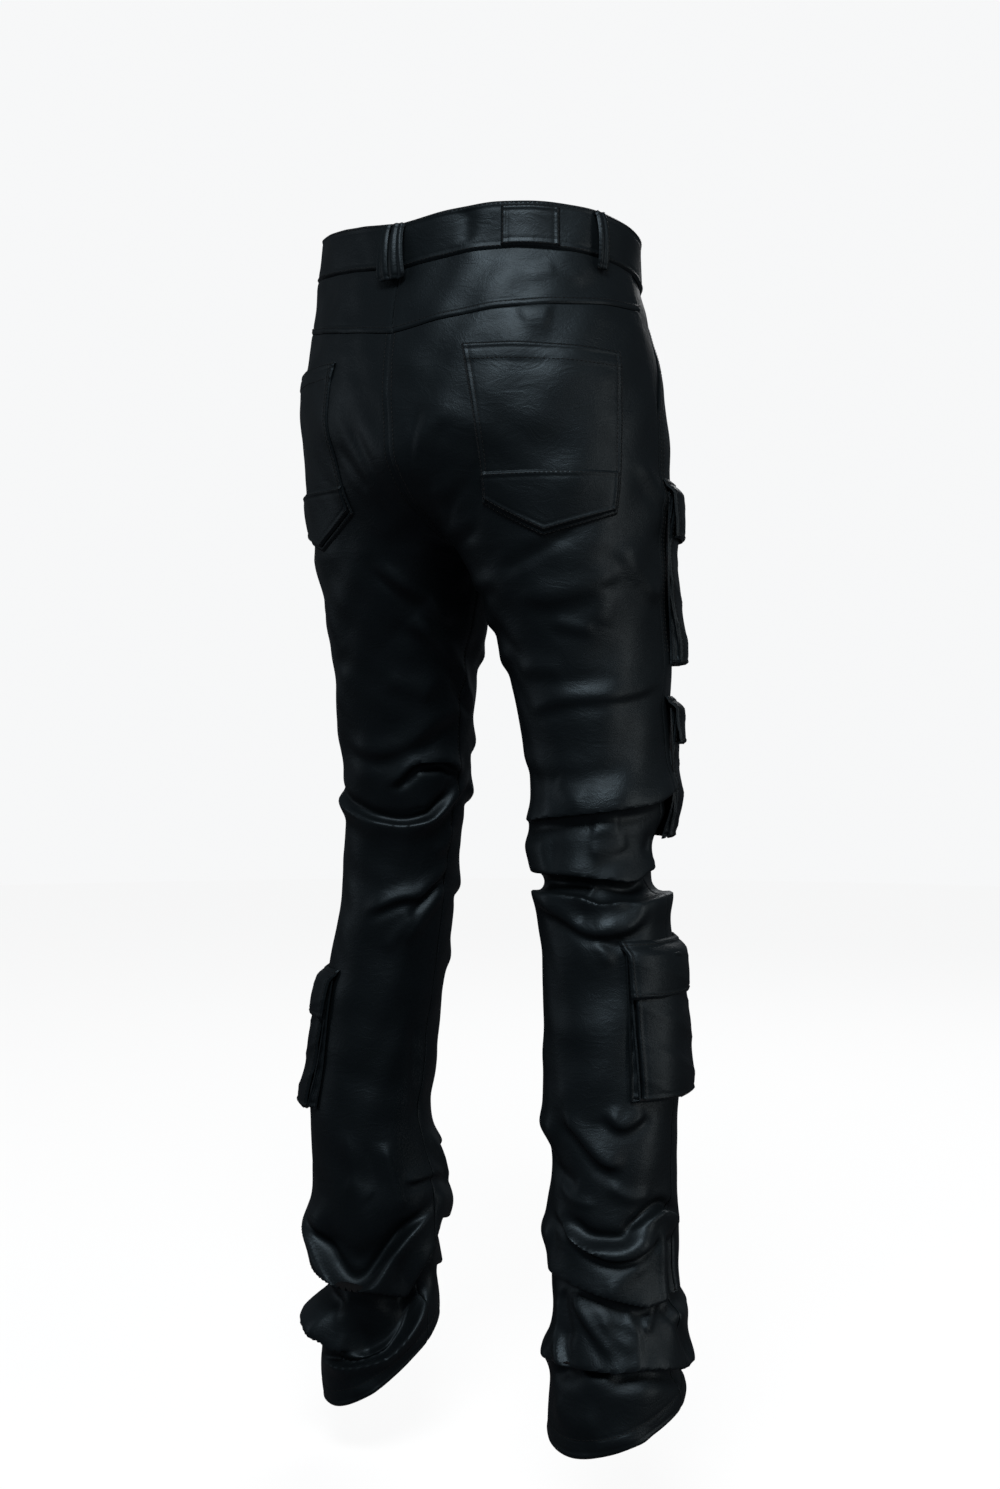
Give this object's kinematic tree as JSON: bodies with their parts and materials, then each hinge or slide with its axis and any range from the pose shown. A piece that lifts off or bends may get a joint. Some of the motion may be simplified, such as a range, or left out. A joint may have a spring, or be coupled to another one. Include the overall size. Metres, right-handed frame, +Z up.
{
  "type": "leather trousers",
  "caption": "Slim stacked cargo trousers in black leather, worn and hollow, with a waistband, back yokes, patch pockets and flapped cargo pockets down each leg.",
  "frame": {"origin": "middle of the waist opening, level with the waistband's top edge at the back", "axes": "+Z up, +Y towards the wearer's back, +X towards the wearer's left"},
  "size_m": [0.4335, 0.2529, 1.0357],
  "materials": {
    "black_leather": "black semi-gloss leather with a fine grain and soft creases",
    "button_metal": "plain dark metal button"
  },
  "bodies": {
    "root": {"back_left": "black_leather", "back_pocket_left": "black_leather", "back_pocket_right": "black_leather", "back_right": "black_leather", "cargo_calf_left": "black_leather", "cargo_calf_right": "black_leather", "cargo_thigh_lower_left": "black_leather", "cargo_thigh_lower_right": "black_leather", "cargo_thigh_upper_left": "black_leather", "cargo_thigh_upper_right": "black_leather", "flap_calf_left": "black_leather", "flap_calf_right": "black_leather", "flap_thigh_lower_left": "black_leather", "flap_thigh_lower_right": "black_leather", "flap_thigh_upper_left": "black_leather", "flap_thigh_upper_right": "black_leather", "fly_placket": "black_leather", "front_left": "black_leather", "front_right": "black_leather", "gusset_calf_left": "black_leather", "gusset_calf_right": "black_leather", "gusset_thigh_lower_left": "black_leather", "gusset_thigh_lower_right": "black_leather", "gusset_thigh_upper_left": "black_leather", "gusset_thigh_upper_right": "black_leather", "label_patch": "black_leather", "loop_back_left": "black_leather", "loop_back_right": "black_leather", "loop_centre_left": "black_leather", "loop_centre_right": "black_leather", "loop_front_left": "black_leather", "loop_front_right": "black_leather", "pocket_facing_left": "black_leather", "pocket_facing_right": "black_leather", "pocket_panel_left": "black_leather", "pocket_panel_right": "black_leather", "waist_button": "button_metal", "waistband": "black_leather", "yoke_left": "black_leather", "yoke_right": "black_leather"}
  },
  "joints": []
}
